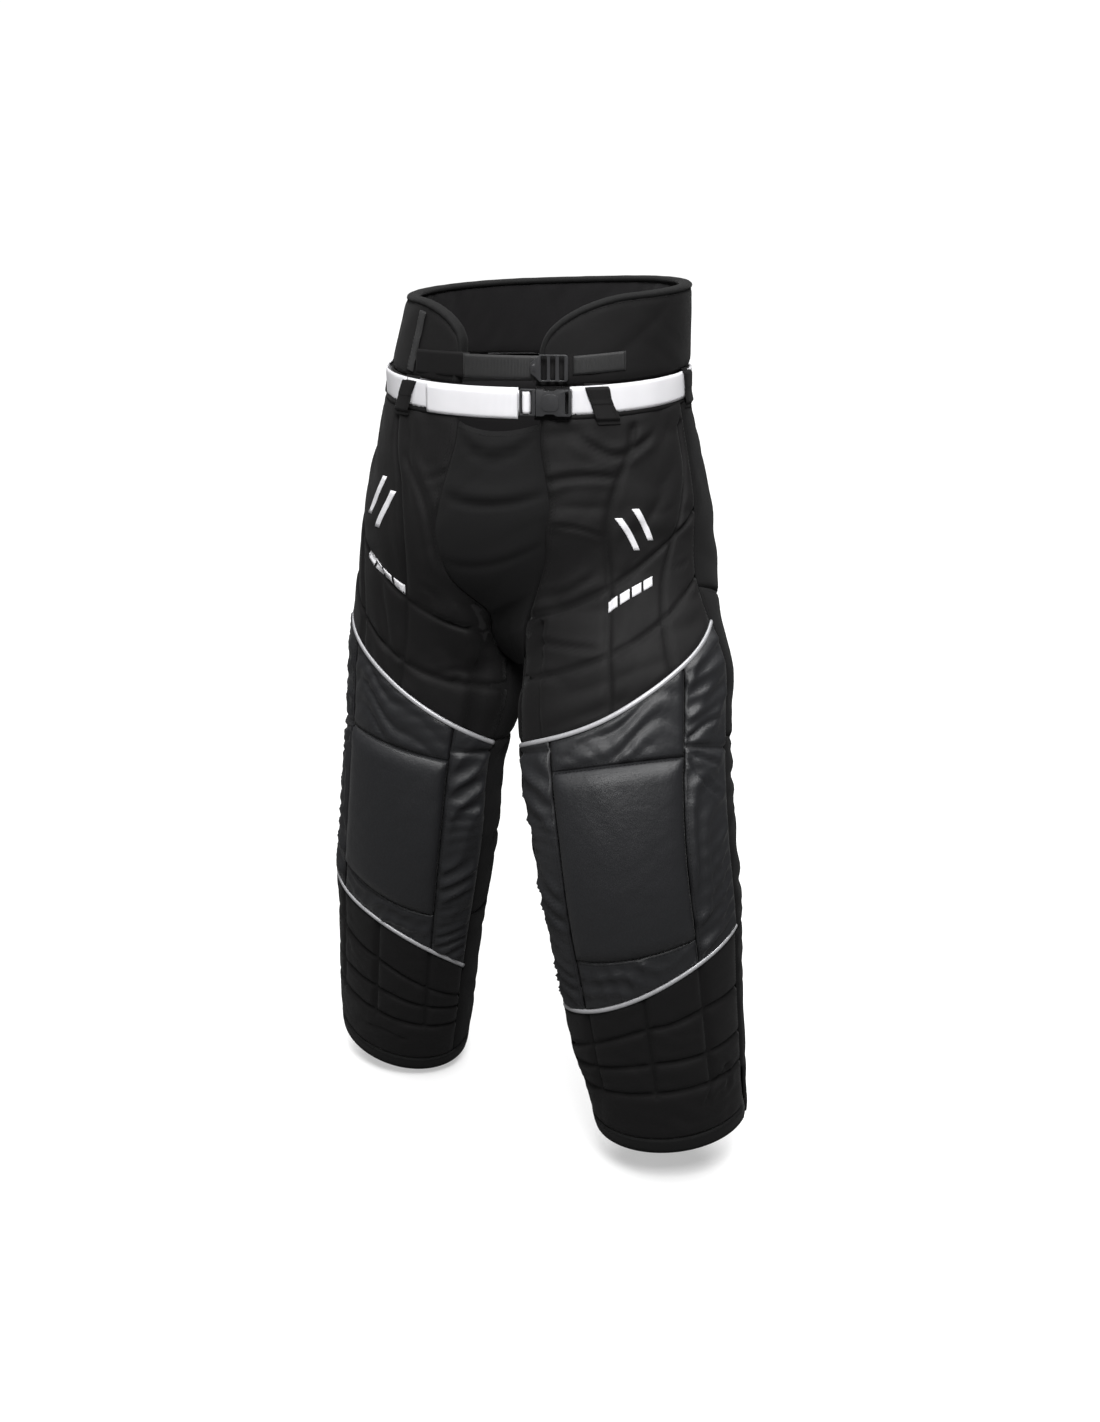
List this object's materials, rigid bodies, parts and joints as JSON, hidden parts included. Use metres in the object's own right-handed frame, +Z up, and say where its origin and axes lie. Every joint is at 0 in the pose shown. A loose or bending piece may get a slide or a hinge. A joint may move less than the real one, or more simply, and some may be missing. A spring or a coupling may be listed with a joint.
{
  "type": "padded ice-sports pants",
  "caption": "Full-length padded goalkeeper pants with a high kidney collar, belt and strap buckles, quilted thighs and shins, jointed knee pads, reflective piping and vented hems",
  "frame": {"origin": "the centre of the waist, at the height of the belt's middle", "axes": "+Z up; the wearer faces -Y; +X is towards the wearer's left"},
  "size_m": [0.5989, 0.393, 1.0409],
  "materials": {
    "microfibre": "matt black polyester microfibre, quilted over foam",
    "stretch": "matt black stretch knit",
    "satin_nylon": "satin coated nylon, slightly glossy",
    "lining": "soft brushed tricot lining",
    "foam": "closed-cell foam sheet inside the cover",
    "binding": "folded grosgrain edge binding",
    "black_webbing": "ribbed polyester webbing",
    "white_webbing": "white woven belt webbing",
    "buckle_plastic": "moulded acetal, satin",
    "reflective": "silver-grey reflective tape"
  },
  "bodies": {
    "pants_body": {"collar_outer_shell": "microfibre", "waistband": "microfibre", "collar_strap_base": "microfibre", "collar_foam": "foam", "collar_lining": "lining", "collar_binding": "binding", "belt_back_run": "white_webbing", "belt_front_run": "white_webbing", "belt_tail": "white_webbing", "collar_strap": "black_webbing", "lock_anchor_webbing": "black_webbing", "collar_wing_tape": "black_webbing", "buckle_socket": "buckle_plastic", "crotch_gusset": "stretch", "left_front_belt_loop": "microfibre", "left_side_belt_loop": "microfibre", "left_back_belt_loop": "microfibre", "left_thigh_front_panel": "microfibre", "left_thigh_foam": "foam", "left_hip_pad": "foam", "left_knee_pad_foam": "foam", "left_seat_panel": "stretch", "left_thigh_back": "stretch", "left_knee_back": "stretch", "left_knee_gusset_upper": "satin_nylon", "left_knee_pad_cover": "satin_nylon", "left_knee_bolster_inner": "satin_nylon", "left_knee_bolster_outer": "satin_nylon", "left_piping_upper": "reflective", "right_front_belt_loop": "microfibre", "right_side_belt_loop": "microfibre", "right_back_belt_loop": "microfibre", "right_thigh_front_panel": "microfibre", "right_thigh_foam": "foam", "right_hip_pad": "foam", "right_knee_pad_foam": "foam", "right_seat_panel": "stretch", "right_thigh_back": "stretch", "right_knee_back": "stretch", "right_knee_gusset_upper": "satin_nylon", "right_knee_pad_cover": "satin_nylon", "right_knee_bolster_inner": "satin_nylon", "right_knee_bolster_outer": "satin_nylon", "right_piping_upper": "reflective"},
    "left_lower_leg": {"left_shin_panel": "microfibre", "left_shin_foam": "foam", "left_calf_back": "stretch", "left_hem_band": "binding", "left_piping_lower": "reflective", "left_knee_gusset_lower": "satin_nylon"},
    "right_lower_leg": {"right_shin_panel": "microfibre", "right_shin_foam": "foam", "right_calf_back": "stretch", "right_hem_band": "binding", "right_piping_lower": "reflective", "right_knee_gusset_lower": "satin_nylon"},
    "buckle_tongue": {"buckle_prongs": "buckle_plastic"},
    "strap_lock": {"ladder_lock": "buckle_plastic"}
  },
  "joints": [
    {"name": "left_knee", "type": "hinge", "parent": "pants_body", "child": "left_lower_leg", "pos_m": [0.1582, -0.1401, -0.475], "axis": [0.9663, 0.2409, 0.0905], "range_deg": [0, 55], "deforming": ["left_knee_gusset_upper", "left_knee_gusset_lower", "left_knee_pad_cover", "left_knee_pad_foam", "left_knee_bolster_inner", "left_knee_bolster_outer", "left_knee_back", "left_piping_lower", "left_piping_upper"]},
    {"name": "right_knee", "type": "hinge", "parent": "pants_body", "child": "right_lower_leg", "pos_m": [-0.154, -0.0132, -0.5081], "axis": [0.936, -0.3095, -0.1676], "range_deg": [0, 55], "deforming": ["right_knee_gusset_upper", "right_knee_gusset_lower", "right_knee_pad_cover", "right_knee_pad_foam", "right_knee_bolster_inner", "right_knee_bolster_outer", "right_knee_back", "right_piping_lower", "right_piping_upper"]},
    {"name": "buckle_release", "type": "slide", "parent": "pants_body", "child": "buckle_tongue", "axis": [-0.9859, -0.1672, 0], "range_m": [0, 0.035], "deforming": ["belt_front_run", "belt_tail"]},
    {"name": "ladder_lock_tilt", "type": "hinge", "parent": "pants_body", "child": "strap_lock", "pos_m": [0.07162, -0.12478, 0.033], "axis": [0, 0, 1], "range_deg": [0, 30], "deforming": ["collar_strap"]}
  ]
}
